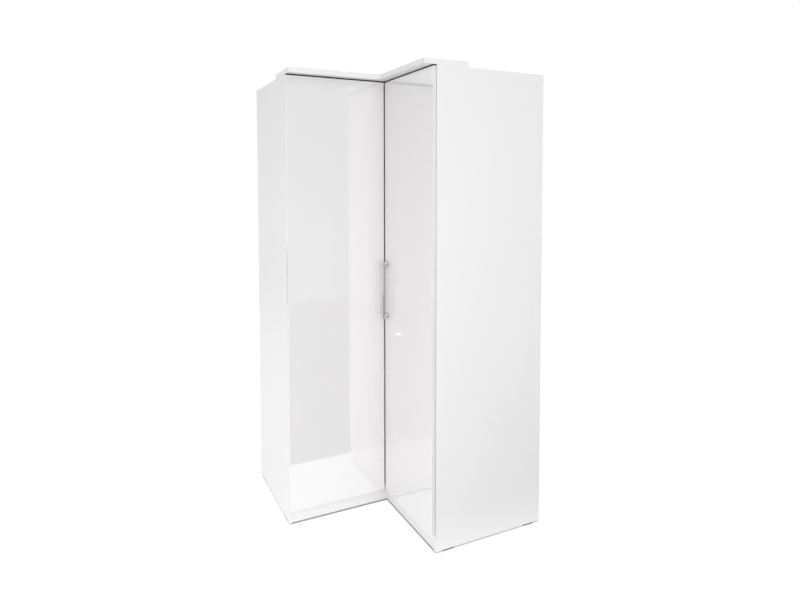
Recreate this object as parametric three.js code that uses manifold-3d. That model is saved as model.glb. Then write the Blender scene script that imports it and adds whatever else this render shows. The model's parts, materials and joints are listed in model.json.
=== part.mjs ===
// Corner wardrobe: an L-shaped carcass in white board with two gloss doors that meet in the inner corner.
// Millimetres, +Z up. The origin is on the floor, under the middle of the square that the wardrobe fills.
import * as THREE from "three";
import { mergeVertices } from "three/addons/utils/BufferGeometryUtils.js";
import Module from "manifold-3d";

// Whole wardrobe
const WING_WIDTH = 487; // from the other wing's door faces to the outer face of this wing's side panel
const WING_DEPTH = 579; // from this wing's door face to its back
const CARCASS_HEIGHT = 2100;
const BOARD = 16;
const CONTACT = 0.2; // room left between pieces that touch
const EDGE_EASE = 0.8; // rounding of a lipped board edge
const EASE_STEPS = 2;
const ROUND_STEPS = 20; // facets round a circle
const CURVE_STEPS = 6; // facets along one curve or quarter of an outline
const SMALL_STEPS = 3; // facets in a quarter of a small round corner
const DISC_STEPS = 8; // facets in half of a small disc
const HOLE_STEPS = 6; // facets round a small hole
const MERGE_DISTANCE = 0.0002; // points closer than this are one point
const OVERRUN = 5; // how far a cutting tool runs past the face that it cuts

// Base
const GLIDE_HEIGHT = 6;
const GLIDE_LENGTH = 60;
const GLIDE_WIDTH = 14;
const GLIDE_INSET = 64; // from the panel's front or back edge to the middle of the glide
const GLIDE_EASE = 1.2;
const BASE_HEIGHT = 70; // floor to the underside of the bottom board
const PLINTH_SETBACK = 2.4;
const PLINTH_THICKNESS = 16;
const FOOT_PLATE_RADIUS = 35;
const FOOT_PLATE_THICKNESS = 4;
const FOOT_STEM_RADIUS = 17;
const FOOT_SCREW_RADIUS = 11;
const FOOT_SCREW_HEIGHT = 14;
const FOOT_BASE_RADIUS = 29;
const FOOT_BASE_THICKNESS = 7;
const FOOT_FILLET = 3;
const FOOT_INSET = 62; // from the edge of the bottom board to the middle of the foot

// Back
const BACK_THICKNESS = 3;
const BACK_INSET = 10; // from the rear edges of the side panels to the back sheet
const GROOVE_DEPTH = 7;

// Top
const CORNICE_THICKNESS = 23;
const CORNICE_OVERHANG = 42; // past the door faces
const CORNICE_DEPTH = 218;
const SEAL_SETBACK = 1; // behind the door faces
const SEAL_WIDTH = 16.5;
const SEAL_THICKNESS = 4;
const SEAL_EASE = 0.5;

// Hat shelf and clothes rails
const HAT_SPACE = 308; // clear height between the hat shelf and the top board
const SHELF_THICKNESS = 16;
const SHELF_SETBACK = 22;
const PIN_HOLE_RADIUS = 2.5;
const PIN_HOLE_DEPTH = 9;
const PIN_HOLE_PITCH = 32;
const PIN_HOLE_LINE = 37; // from the front or back edge of the shelves' space to the row of holes
const PIN_HOLES_PER_GROUP = 5;
const PIN_HOLE_GROUPS = 3;
const PIN_GROUP_SPACING = 448; // between the middles of the groups
const PIN_GROUP_BOTTOM = 420; // floor to the middle of the lowest group
const RAIL_DROP = 60; // from the shelf's underside to the rail's middle
const RAIL_DEPTH = 300; // from the door face to the rail's middle
const RAIL_TALL = 30;
const RAIL_WIDE = 15;
const RAIL_WALL = 1.2;
const FLANGE_LIP = 8; // how far the flange spreads past the rail
const FLANGE_COLLAR = 3; // wall of the collar that holds the rail
const FLANGE_BASE = 2.5;
const FLANGE_LENGTH = 12;
const HANGER_BLOCK = 30;
const HANGER_BLOCK_TALL = 40;
const HANGER_STEM = 14;
const HANGER_PLATE = 54;
const HANGER_PLATE_THICKNESS = 3;
const HANGER_SOCKET = 5; // how deep a rail sits in the corner block
const HANGER_CORNER = 3;
const HANGER_EASE = 1.5;
const HANGER_PLATE_CORNER = 6;

// Steel plates across the joints of the L-shaped boards, and brackets for the wall
const PLATE_LENGTH = 90;
const PLATE_WIDTH = 36;
const PLATE_THICKNESS = 2;
const PLATE_CORNER = 6;
const PLATE_DEPTH = 230; // from the front edges of the boards
const PLATE_HOLE_RADIUS = 2.5;
const PLATE_HOLE_SPACING = 60;
const BRACKET_LEG = 45;
const BRACKET_RISE = 20;
const BRACKET_WIDTH = 30;
const BRACKET_THICKNESS = 2.5;
const BRACKET_HOLE_RADIUS = 3;
const BRACKET_WALL_GAP = 0.5; // from the bracket to the plane of the wall
const BRACKET_INSET = 230; // from the side panel's outer face

// Doors
const DOOR_THICKNESS = 16;
const DOOR_GAP = 2; // between a closed door and the carcass
const DOOR_CORNER_GAP = 3; // from a door's free edge to the plane of the other door's face
const DOOR_BOTTOM = 68;
const DOOR_TOP_GAP = 6; // from the door's top edge to the top of the carcass
const DOOR_EASE = 1;
const BUFFER_RADIUS = 4;
const BUFFER_INSET = 30; // from the door's free edge
const BUFFER_EASE = 0.5;

// Concealed hinges
const HINGES_PER_DOOR = 4;
const HINGE_END_DISTANCE = 100; // from the door's top or bottom edge
const CUP_INSET = 22; // from the door's outer edge to the middle of the cup
const CUP_RADIUS = 17.2;
const CUP_DEPTH = 12;
const CUP_WALL = 1.2;
const CUP_FLANGE_THICKNESS = 1;
const CUP_FLANGE_RADIUS = 19;
const CUP_EAR_LENGTH = 62;
const CUP_EAR_WIDTH = 15;
const CUP_EAR_OFFSET = 6; // the ears sit further from the door's edge than the cup
const PLATE_LINE = 37; // from the carcass front to the mounting screws
const WING_PLATE_LENGTH = 50;
const WING_PLATE_WIDTH = 16;
const WING_PLATE_THICKNESS = 2.4;
const WING_PLATE_CORNER = 4;
const ARM_WIDTH = 16;
const ARM_LENGTH = 66;
const ARM_RISE = 10;
const ARM_NECK_RISE = 12.5;
const ARM_NECK = 14; // length of the raised front end
const ARM_SHOULDER = 21; // from the arm's front to where the raised end has come down
const ARM_ROUND = 4; // rounding of the arm's front end
const ARM_TAIL = 10; // length of the rounded rear end
const ARM_SLOPE_START = 21; // from the screw line forward to where the arm leaves the panel
const ARM_EASE = 0.2;
const ARM_FRONT_GAP = 0.4; // from the cup's flange to the arm
const LINK_WIDTH = 10;
const LINK_REACH = 9; // how far the links stand into the closed cup
const LINK_THICKNESS = 8;
const LINK_START = 4; // from the plate's face
const LINK_ROOT = 7; // how far back the links join the arm

// Bar handle on the right door
const HANDLE_HEIGHT = 1083; // floor to the middle of the rod
const HANDLE_INSET = 38; // from the door's free edge
const HANDLE_HOLE_SPACING = 256;
const HANDLE_LENGTH = 284;
const HANDLE_ROD_RADIUS = 5;
const HANDLE_ROD_EASE = 1.5;
const HANDLE_REACH = 25; // from the door's face to the middle of the rod
const HANDLE_FOOT_RADIUS = 15; // at the door
const HANDLE_FOOT_SHOULDER = 4; // height of the foot's straight rim
const HANDLE_FOOT_TOP = 21.4;
const SCREW_RADIUS = 2;
const SCREW_CLEARANCE = 0.4;
const SCREW_HEAD_RADIUS = 4.2;
const SCREW_HEAD_THICKNESS = 2.4;
const SCREW_HEAD_EASE = 0.8;
const SCREW_GRIP = 12; // how far the screw runs into the handle's foot

const colours = {
  board: { color: 0xf0f0ef, roughness: 0.5, metalness: 0 },
  gloss: { color: 0xf4f4f4, roughness: 0.06, metalness: 0 },
  sheet: { color: 0xe9e8e4, roughness: 0.7, metalness: 0 },
  satin: { color: 0xb9babb, roughness: 0.32, metalness: 1 },
  nickel: { color: 0xa9a8a4, roughness: 0.28, metalness: 1 },
  chrome: { color: 0xd0d2d4, roughness: 0.12, metalness: 1 },
  zinc: { color: 0x9b9ea1, roughness: 0.45, metalness: 1 },
  black: { color: 0x1b1b1c, roughness: 0.55, metalness: 0 },
  rubber: { color: 0x0e0e0f, roughness: 0.8, metalness: 0 },
  clear: { color: 0xdfe3e4, roughness: 0.35, metalness: 0 },
};

// Planes of the carcass, in the frame of one wing: X runs along the wing from the inner corner, Y goes back
const carcassFront = DOOR_THICKNESS + DOOR_GAP;
const sideOuter = -WING_WIDTH;
const sideInner = sideOuter + BOARD;
const boardEnd = sideInner + CONTACT;
const backFront = WING_DEPTH - BACK_INSET - BACK_THICKNESS;
const backRear = WING_DEPTH - BACK_INSET;
const boardBack = backFront - CONTACT;
const topUnderside = CARCASS_HEIGHT - BOARD;
const corniceUnderside = CARCASS_HEIGHT + CONTACT;
const shelfUnderside = topUnderside - HAT_SPACE - SHELF_THICKNESS;
const railMiddle = shelfUnderside - RAIL_DROP;
const doorTop = CARCASS_HEIGHT - DOOR_TOP_GAP;
const doorWidth = WING_WIDTH - DOOR_CORNER_GAP;
const doorHeight = doorTop - DOOR_BOTTOM;

// Solids
const wasm = await Module();
wasm.setup();

function toSolid(geometry) {
  const bare = geometry.clone();
  bare.deleteAttribute("normal");
  bare.deleteAttribute("uv");
  const merged = mergeVertices(bare, MERGE_DISTANCE);
  const mesh = new wasm.Mesh({
    numProp: 3,
    vertProperties: merged.attributes.position.array,
    triVerts: new Uint32Array(merged.index.array),
  });
  return new wasm.Manifold(mesh);
}

function toGeometry(solid) {
  const mesh = solid.getMesh();
  const geometry = new THREE.BufferGeometry();
  geometry.setAttribute("position", new THREE.BufferAttribute(mesh.vertProperties, mesh.numProp));
  geometry.setIndex(new THREE.BufferAttribute(mesh.triVerts, 1));
  geometry.computeVertexNormals();
  return geometry;
}

function joined(geometries) {
  const solids = geometries.map(toSolid);
  return toGeometry(solids.reduce((whole, piece) => whole.add(piece)));
}

function cut(geometry, cutters) {
  const remainder = cutters.map(toSolid).reduce((whole, cutter) => whole.subtract(cutter), toSolid(geometry));
  return toGeometry(remainder);
}

// Outlines
function rectangle(width, height, round = 0) {
  const x = width / 2;
  const y = height / 2;
  const shape = new THREE.Shape();
  if (round === 0) {
    shape.moveTo(-x, -y).lineTo(x, -y).lineTo(x, y).lineTo(-x, y);
    return shape;
  }
  shape.moveTo(-x + round, -y);
  shape.lineTo(x - round, -y);
  shape.absarc(x - round, -y + round, round, -Math.PI / 2, 0);
  shape.lineTo(x, y - round);
  shape.absarc(x - round, y - round, round, 0, Math.PI / 2);
  shape.lineTo(-x + round, y);
  shape.absarc(-x + round, y - round, round, Math.PI / 2, Math.PI);
  shape.lineTo(-x, -y + round);
  shape.absarc(-x + round, -y + round, round, Math.PI, Math.PI * 1.5);
  return shape;
}

// A slot shape: two half circles joined by straight sides
function oval(width, height) {
  const round = Math.min(width, height) / 2;
  const reach = Math.max(width, height) / 2 - round;
  const shape = new THREE.Shape();
  shape.absarc(0, reach, round, 0, Math.PI);
  shape.absarc(0, -reach, round, Math.PI, Math.PI * 2);
  return shape;
}

// Extrusion of an outline along Z, centred on the outline's plane, with its rims eased
function extruded(shape, thickness, ease = 0, steps = EASE_STEPS, curveSegments = CURVE_STEPS) {
  const geometry = new THREE.ExtrudeGeometry(shape, {
    depth: thickness - 2 * ease,
    bevelEnabled: ease > 0,
    bevelThickness: ease,
    bevelSize: ease,
    bevelOffset: -ease,
    bevelSegments: steps,
    curveSegments,
  });
  geometry.translate(0, 0, ease - thickness / 2);
  return geometry;
}

// Turns that stand an extrusion along X or Y
const along = {
  x: new THREE.Matrix4().makeBasis(
    new THREE.Vector3(0, 1, 0),
    new THREE.Vector3(0, 0, 1),
    new THREE.Vector3(1, 0, 0),
  ),
  y: new THREE.Matrix4().makeBasis(
    new THREE.Vector3(1, 0, 0),
    new THREE.Vector3(0, 0, 1),
    new THREE.Vector3(0, -1, 0),
  ),
  z: new THREE.Matrix4(),
};

// A flat board whose rims are eased round its two large faces, centred on its middle
function slab(size, ease = EDGE_EASE) {
  const [x, y, z] = size;
  const thin = Math.min(x, y, z);
  if (z === thin) return extruded(rectangle(x, y), z, ease);
  if (y === thin) return extruded(rectangle(x, z), y, ease).applyMatrix4(along.y);
  return extruded(rectangle(y, z), x, ease).applyMatrix4(along.x);
}

function rod(radius, length, steps = ROUND_STEPS) {
  return new THREE.CylinderGeometry(radius, radius, length, steps);
}

// Pieces
function piece(name, geometry, look, x = 0, y = 0, z = 0) {
  const mesh = new THREE.Mesh(geometry, new THREE.MeshStandardMaterial(colours[look]));
  mesh.name = name;
  mesh.position.set(x, y, z);
  return mesh;
}

function board(name, look, low, high, ease = EDGE_EASE) {
  const size = high.map((value, i) => value - low[i]);
  const middle = high.map((value, i) => (value + low[i]) / 2);
  return piece(name, slab(size, ease), look, ...middle);
}

// Rows of blind holes for shelf pins, in the panel's inner face, near the front and near the back
function pinHoles() {
  const holes = [];
  for (const y of [carcassFront + PIN_HOLE_LINE, backFront - PIN_HOLE_LINE]) {
    for (let group = 0; group < PIN_HOLE_GROUPS; group += 1) {
      for (let place = 0; place < PIN_HOLES_PER_GROUP; place += 1) {
        const step = place - (PIN_HOLES_PER_GROUP - 1) / 2;
        const z = PIN_GROUP_BOTTOM + group * PIN_GROUP_SPACING + step * PIN_HOLE_PITCH;
        const hole = rod(PIN_HOLE_RADIUS, PIN_HOLE_DEPTH + OVERRUN, HOLE_STEPS).rotateZ(Math.PI / 2);
        holes.push(hole.translate(sideInner + (OVERRUN - PIN_HOLE_DEPTH) / 2, y, z));
      }
    }
  }
  return holes;
}

// A side panel stands on its glides and holds the back sheet in a groove
function sidePanel(name) {
  const length = WING_DEPTH - carcassFront;
  const groove = BACK_THICKNESS + 2 * CONTACT;
  const grooveMiddle = (backFront + backRear) / 2 - (carcassFront + WING_DEPTH) / 2;
  const outline = new THREE.Shape();
  const x = BOARD / 2;
  const y = length / 2;
  outline.moveTo(-x + EDGE_EASE, -y);
  outline.lineTo(x - EDGE_EASE, -y);
  outline.absarc(x - EDGE_EASE, -y + EDGE_EASE, EDGE_EASE, -Math.PI / 2, 0);
  outline.lineTo(x, grooveMiddle - groove / 2);
  outline.lineTo(x - GROOVE_DEPTH, grooveMiddle - groove / 2);
  outline.lineTo(x - GROOVE_DEPTH, grooveMiddle + groove / 2);
  outline.lineTo(x, grooveMiddle + groove / 2);
  outline.lineTo(x, y);
  outline.lineTo(-x, y);
  outline.lineTo(-x, -y + EDGE_EASE);
  outline.absarc(-x + EDGE_EASE, -y + EDGE_EASE, EDGE_EASE, Math.PI, Math.PI * 1.5);
  const panel = extruded(outline, CARCASS_HEIGHT - GLIDE_HEIGHT, 0, 0, EASE_STEPS);
  const middle = (CARCASS_HEIGHT + GLIDE_HEIGHT) / 2;
  panel.translate(sideOuter + x, (carcassFront + WING_DEPTH) / 2, middle);
  return piece(name, cut(panel, pinHoles()), "board");
}

function glide(name, y) {
  const outline = rectangle(GLIDE_WIDTH, GLIDE_LENGTH, GLIDE_WIDTH / 2);
  const geometry = extruded(outline, GLIDE_HEIGHT - CONTACT, GLIDE_EASE, 1, SMALL_STEPS);
  return piece(name, geometry, "black", sideOuter + BOARD / 2, y, (GLIDE_HEIGHT - CONTACT) / 2);
}

// The cornice is mitred on the diagonal of the inner corner
function cornice(name) {
  const front = -CORNICE_OVERHANG;
  const rear = CORNICE_DEPTH - CORNICE_OVERHANG;
  const outline = new THREE.Shape();
  outline.moveTo(sideOuter, front);
  outline.lineTo(front - CONTACT, front);
  outline.lineTo(rear - CONTACT, rear);
  outline.lineTo(sideOuter, rear);
  const middle = corniceUnderside + CORNICE_THICKNESS / 2;
  return piece(name, extruded(outline, CORNICE_THICKNESS, EDGE_EASE), "board", 0, 0, middle);
}

// A black sealing strip under the cornice closes the joint above the door
function topSeal(name, runsThrough) {
  const rear = SEAL_SETBACK + SEAL_WIDTH;
  const end = runsThrough ? rear : SEAL_SETBACK - CONTACT;
  const top = corniceUnderside - CONTACT;
  const low = [sideOuter, SEAL_SETBACK, top - SEAL_THICKNESS];
  return board(name, "rubber", low, [end, rear, top], SEAL_EASE);
}

function railFlange(name) {
  const baseOutline = oval(RAIL_WIDE + 2 * FLANGE_LIP, RAIL_TALL + 2 * FLANGE_LIP);
  const base = extruded(baseOutline, FLANGE_BASE, CONTACT, 1);
  const outer = oval(RAIL_WIDE + 2 * FLANGE_COLLAR, RAIL_TALL + 2 * FLANGE_COLLAR);
  outer.holes.push(oval(RAIL_WIDE + 2 * CONTACT, RAIL_TALL + 2 * CONTACT));
  const collar = extruded(outer, FLANGE_LENGTH);
  collar.translate(0, 0, (FLANGE_LENGTH + FLANGE_BASE) / 2 - CONTACT);
  const geometry = joined([base, collar]).applyMatrix4(along.x);
  return piece(name, geometry, "chrome", boardEnd + FLANGE_BASE / 2, RAIL_DEPTH, railMiddle);
}

function rail(name) {
  const start = boardEnd + FLANGE_BASE + CONTACT;
  const end = RAIL_DEPTH - HANGER_BLOCK / 2 + HANGER_SOCKET - CONTACT;
  const outline = oval(RAIL_WIDE, RAIL_TALL);
  outline.holes.push(oval(RAIL_WIDE - 2 * RAIL_WALL, RAIL_TALL - 2 * RAIL_WALL));
  const geometry = extruded(outline, end - start).applyMatrix4(along.x);
  return piece(name, geometry, "chrome", (start + end) / 2, RAIL_DEPTH, railMiddle);
}

function wallBracket(name) {
  const outline = new THREE.Shape();
  outline.moveTo(0, 0);
  outline.lineTo(BRACKET_LEG, 0);
  outline.lineTo(BRACKET_LEG, BRACKET_RISE);
  outline.lineTo(BRACKET_LEG - BRACKET_THICKNESS, BRACKET_RISE);
  outline.lineTo(BRACKET_LEG - BRACKET_THICKNESS, BRACKET_THICKNESS);
  outline.lineTo(0, BRACKET_THICKNESS);
  const angle = extruded(outline, BRACKET_WIDTH).applyMatrix4(along.x);
  const hole = rod(BRACKET_HOLE_RADIUS, BRACKET_THICKNESS + 2 * OVERRUN);
  hole.translate(0, BRACKET_LEG - BRACKET_THICKNESS / 2, (BRACKET_RISE + BRACKET_THICKNESS) / 2);
  const rear = WING_DEPTH - BRACKET_WALL_GAP;
  const geometry = cut(angle, [hole]);
  const bottom = CARCASS_HEIGHT + CONTACT;
  return piece(name, geometry, "zinc", sideOuter + BRACKET_INSET, rear - BRACKET_LEG, bottom);
}

function buffer(name, z) {
  const thickness = DOOR_GAP - 2 * CONTACT;
  const round = new THREE.Shape().absarc(0, 0, BUFFER_RADIUS, 0, Math.PI * 2);
  const disc = extruded(round, thickness, BUFFER_EASE, 1, DISC_STEPS);
  const x = -DOOR_CORNER_GAP - BUFFER_INSET;
  return piece(name, disc.applyMatrix4(along.y), "clear", x, carcassFront - DOOR_GAP / 2, z);
}

// Hinges
const hingeHeights = Array.from({ length: HINGES_PER_DOOR }, (_, i) => {
  const travel = doorHeight - 2 * HINGE_END_DISTANCE;
  return HINGE_END_DISTANCE + (travel * i) / (HINGES_PER_DOOR - 1);
});

// The cup opens towards the carcass, along +Y
function hingeCup() {
  const top = CONTACT + CUP_FLANGE_THICKNESS;
  const body = rod(CUP_RADIUS, CUP_DEPTH + top);
  body.translate(0, (top - CUP_DEPTH) / 2, 0);
  const disc = rod(CUP_FLANGE_RADIUS, CUP_FLANGE_THICKNESS);
  disc.translate(0, CONTACT + CUP_FLANGE_THICKNESS / 2, 0);
  const earOutline = rectangle(CUP_EAR_WIDTH, CUP_EAR_LENGTH, CUP_EAR_WIDTH / 2);
  const ears = extruded(earOutline, CUP_FLANGE_THICKNESS, 0, 0, SMALL_STEPS);
  ears.applyMatrix4(along.y);
  ears.translate(CUP_EAR_OFFSET, CONTACT + CUP_FLANGE_THICKNESS / 2, 0);
  const hollow = rod(CUP_RADIUS - CUP_WALL, CUP_DEPTH + OVERRUN);
  hollow.translate(0, (CUP_DEPTH + OVERRUN) / 2 - CUP_DEPTH + CUP_WALL, 0);
  return cut(joined([body, disc, ears]), [hollow]);
}

// The arm is clipped to a winged plate on the side panel. Its links stand into the closed cup.
// Origin: on the panel's inner face, in the plane of the carcass front.
function hingeArm() {
  const front = -DOOR_GAP + CONTACT + CUP_FLANGE_THICKNESS + ARM_FRONT_GAP;
  const foot = CONTACT + WING_PLATE_THICKNESS;
  const plateOutline = rectangle(WING_PLATE_WIDTH, WING_PLATE_LENGTH, WING_PLATE_CORNER);
  const plate = extruded(plateOutline, WING_PLATE_THICKNESS, 0, 0, SMALL_STEPS);
  plate.applyMatrix4(along.x);
  plate.translate(CONTACT + WING_PLATE_THICKNESS / 2, PLATE_LINE, 0);
  const side = new THREE.Shape();
  const neckTop = foot + ARM_NECK_RISE;
  const armTop = foot + ARM_RISE;
  const rear = front + ARM_LENGTH;
  side.moveTo(foot - CONTACT, PLATE_LINE - ARM_SLOPE_START);
  side.lineTo(foot + LINK_START, front + ARM_NECK);
  side.lineTo(foot + LINK_START, front);
  side.lineTo(neckTop - ARM_ROUND, front);
  side.quadraticCurveTo(neckTop, front, neckTop, front + ARM_ROUND);
  side.lineTo(neckTop, front + ARM_NECK);
  side.lineTo(armTop, front + ARM_SHOULDER);
  side.lineTo(armTop, rear - ARM_TAIL);
  side.quadraticCurveTo(armTop, rear, foot - CONTACT, rear);
  const arm = extruded(side, ARM_WIDTH, ARM_EASE, 1, SMALL_STEPS);
  const hook = new THREE.Shape();
  const linkTip = front - LINK_REACH;
  const linkRoot = front + LINK_ROOT;
  hook.moveTo(foot + LINK_START, linkRoot);
  hook.quadraticCurveTo(foot + LINK_START, linkTip, foot, linkTip);
  hook.lineTo(foot + LINK_THICKNESS, linkTip);
  hook.quadraticCurveTo(armTop, front, armTop, linkRoot);
  const links = extruded(hook, LINK_WIDTH, 0, 0, CURVE_STEPS);
  return joined([plate, arm, links]);
}

// Handle
// The foot is a dome that narrows to the rod, which lies in a saddle in its top. The screw comes from behind.
function handleFoot() {
  const dome = new THREE.QuadraticBezierCurve(
    new THREE.Vector2(HANDLE_FOOT_RADIUS, HANDLE_FOOT_SHOULDER),
    new THREE.Vector2(HANDLE_FOOT_RADIUS, (HANDLE_FOOT_SHOULDER + HANDLE_REACH) / 2),
    new THREE.Vector2(HANDLE_ROD_RADIUS, HANDLE_FOOT_TOP),
  );
  const points = [
    new THREE.Vector2(0, CONTACT),
    new THREE.Vector2(HANDLE_FOOT_RADIUS, CONTACT),
    ...dome.getPoints(CURVE_STEPS),
    new THREE.Vector2(0, HANDLE_FOOT_TOP),
  ];
  const body = new THREE.LatheGeometry(points, ROUND_STEPS).rotateZ(Math.PI / 2);
  const hole = rod(SCREW_RADIUS + SCREW_CLEARANCE, SCREW_GRIP + OVERRUN + CONTACT).rotateZ(Math.PI / 2);
  hole.translate((OVERRUN - SCREW_GRIP - CONTACT) / 2, 0, 0);
  const saddle = rod(HANDLE_ROD_RADIUS + CONTACT, HANDLE_LENGTH).rotateX(Math.PI / 2);
  saddle.translate(-HANDLE_REACH, 0, 0);
  return cut(body, [hole, saddle]);
}

function handleBar() {
  const round = new THREE.Shape().absarc(0, 0, HANDLE_ROD_RADIUS, 0, Math.PI * 2);
  return extruded(round, HANDLE_LENGTH, HANDLE_ROD_EASE, 1, ROUND_STEPS / 2);
}

// A pan-head screw along X: its head against the door's inner face, its tip in the handle's foot
function handleScrew() {
  const start = DOOR_THICKNESS + CONTACT;
  const shank = rod(SCREW_RADIUS, start + SCREW_GRIP).rotateZ(Math.PI / 2);
  shank.translate((start - SCREW_GRIP) / 2, 0, 0);
  const round = new THREE.Shape().absarc(0, 0, SCREW_HEAD_RADIUS, 0, Math.PI * 2);
  const head = extruded(round, SCREW_HEAD_THICKNESS, SCREW_HEAD_EASE, 1, DISC_STEPS).applyMatrix4(along.x);
  head.translate(start + SCREW_HEAD_THICKNESS / 2, 0, 0);
  return joined([shank, head]);
}

// A door with its hinge cups, in the frame of its wing
function door(side, extraHoles = []) {
  const group = new THREE.Group();
  group.position.set(sideOuter, 0, DOOR_BOTTOM);
  const leaf = slab([doorWidth, DOOR_THICKNESS, doorHeight], DOOR_EASE);
  leaf.translate(doorWidth / 2, DOOR_THICKNESS / 2, doorHeight / 2);
  const bores = hingeHeights.map((z) => {
    const bore = rod(CUP_RADIUS + CONTACT, CUP_DEPTH + CONTACT + OVERRUN);
    bore.translate(CUP_INSET, DOOR_THICKNESS + (OVERRUN - CUP_DEPTH - CONTACT) / 2, z);
    return bore;
  });
  group.add(piece(side + "_door", cut(leaf, [...bores, ...extraHoles]), "gloss"));
  hingeHeights.forEach((z, i) => {
    group.add(piece(`${side}_hinge_cup_${i + 1}`, hingeCup(), "nickel", CUP_INSET, DOOR_THICKNESS, z));
  });
  return group;
}

// One wing of the carcass. In each pair of level boards the right wing's piece runs through the corner,
// and the left wing's piece butts against its front edge.
function wing(side, runsThrough) {
  const group = new THREE.Group();
  const addBoard = (name, front, rear, bottom, top) => {
    const end = runsThrough ? rear : front - CONTACT;
    group.add(board(side + name, "board", [boardEnd, front, bottom], [end, rear, top]));
  };
  const plinthFront = carcassFront + PLINTH_SETBACK;
  const plinthRear = plinthFront + PLINTH_THICKNESS;
  const shelfFront = carcassFront + SHELF_SETBACK;
  group.add(sidePanel(side + "_side_panel"));
  addBoard("_plinth", plinthFront, plinthRear, GLIDE_HEIGHT, BASE_HEIGHT - CONTACT);
  addBoard("_bottom_board", carcassFront, boardBack, BASE_HEIGHT, BASE_HEIGHT + BOARD);
  addBoard("_hat_shelf", shelfFront, boardBack, shelfUnderside, shelfUnderside + SHELF_THICKNESS);
  addBoard("_top_board", carcassFront, boardBack, topUnderside, CARCASS_HEIGHT);

  const sheetLow = [sideInner - GROOVE_DEPTH + CONTACT, backFront, BASE_HEIGHT];
  const sheetHigh = [runsThrough ? backRear : boardBack, backRear, CARCASS_HEIGHT - CONTACT];
  group.add(board(side + "_back_sheet", "sheet", sheetLow, sheetHigh, 0));
  group.add(cornice(side + "_cornice"));
  group.add(topSeal(side + "_top_seal", runsThrough));
  group.add(glide(side + "_front_glide", carcassFront + GLIDE_INSET));
  group.add(glide(side + "_rear_glide", WING_DEPTH - GLIDE_INSET));
  group.add(railFlange(side + "_rail_flange"));
  group.add(rail(side + "_clothes_rail"));
  group.add(wallBracket(side + "_wall_bracket"));
  group.add(buffer(side + "_bottom_buffer", BASE_HEIGHT + BOARD / 2));
  group.add(buffer(side + "_top_buffer", topUnderside + BUFFER_RADIUS + EDGE_EASE));
  hingeHeights.forEach((z, i) => {
    const name = `${side}_hinge_arm_${i + 1}`;
    group.add(piece(name, hingeArm(), "nickel", sideInner, carcassFront, DOOR_BOTTOM + z));
  });
  return group;
}

// Pieces that belong to the corner itself
function foot(name, x, y) {
  const top = BASE_HEIGHT - CONTACT;
  const collar = top - FOOT_PLATE_THICKNESS;
  const screwTop = FOOT_BASE_THICKNESS + FOOT_SCREW_HEIGHT;
  const profile = [
    [0, 0],
    [FOOT_BASE_RADIUS, 0],
    [FOOT_BASE_RADIUS, FOOT_BASE_THICKNESS - FOOT_FILLET],
    [FOOT_BASE_RADIUS - FOOT_FILLET, FOOT_BASE_THICKNESS],
    [FOOT_SCREW_RADIUS, FOOT_BASE_THICKNESS],
    [FOOT_SCREW_RADIUS, screwTop],
    [FOOT_STEM_RADIUS, screwTop],
    [FOOT_STEM_RADIUS, collar - FOOT_FILLET],
    [FOOT_STEM_RADIUS + FOOT_FILLET, collar],
    [FOOT_PLATE_RADIUS, collar],
    [FOOT_PLATE_RADIUS, top],
    [0, top],
  ];
  const points = profile.map(([radius, z]) => new THREE.Vector2(radius, z));
  const geometry = new THREE.LatheGeometry(points, ROUND_STEPS).rotateX(Math.PI / 2);
  return piece(name, geometry, "black", x, y, 0);
}

function jointPlate(name, x, z) {
  const outline = rectangle(PLATE_LENGTH, PLATE_WIDTH, PLATE_CORNER);
  [-1, 1].forEach((way) => {
    const x = (way * PLATE_HOLE_SPACING) / 2;
    outline.holes.push(new THREE.Path().absarc(x, 0, PLATE_HOLE_RADIUS, 0, Math.PI * 2));
  });
  return piece(name, extruded(outline, PLATE_THICKNESS), "zinc", x, carcassFront + PLATE_DEPTH, z);
}

// A bracket under the hat shelf takes the inner ends of both rails
function cornerHanger() {
  const plateTop = RAIL_DROP - CONTACT;
  const blockOutline = rectangle(HANGER_BLOCK, HANGER_BLOCK, HANGER_CORNER);
  const block = extruded(blockOutline, HANGER_BLOCK_TALL, HANGER_EASE, 1, SMALL_STEPS);
  const stem = extruded(rectangle(HANGER_STEM, HANGER_STEM), plateTop - HANGER_PLATE_THICKNESS / 2);
  stem.translate(0, 0, (plateTop - HANGER_PLATE_THICKNESS / 2) / 2);
  const plateOutline = rectangle(HANGER_PLATE, HANGER_PLATE, HANGER_PLATE_CORNER);
  const plate = extruded(plateOutline, HANGER_PLATE_THICKNESS, 0, 0, SMALL_STEPS);
  plate.translate(0, 0, plateTop - HANGER_PLATE_THICKNESS / 2);
  const sockets = [along.x, along.y].map((turn) => {
    const socket = extruded(oval(RAIL_WIDE + 2 * CONTACT, RAIL_TALL + 2 * CONTACT), HANGER_SOCKET + OVERRUN);
    socket.applyMatrix4(turn);
    const middle = -HANGER_BLOCK / 2 + (HANGER_SOCKET - OVERRUN) / 2;
    return turn === along.x ? socket.translate(middle, 0, 0) : socket.translate(0, middle, 0);
  });
  const geometry = cut(joined([block, stem, plate]), sockets);
  return piece("corner_rail_hanger", geometry, "chrome", RAIL_DEPTH, RAIL_DEPTH, railMiddle);
}

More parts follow.
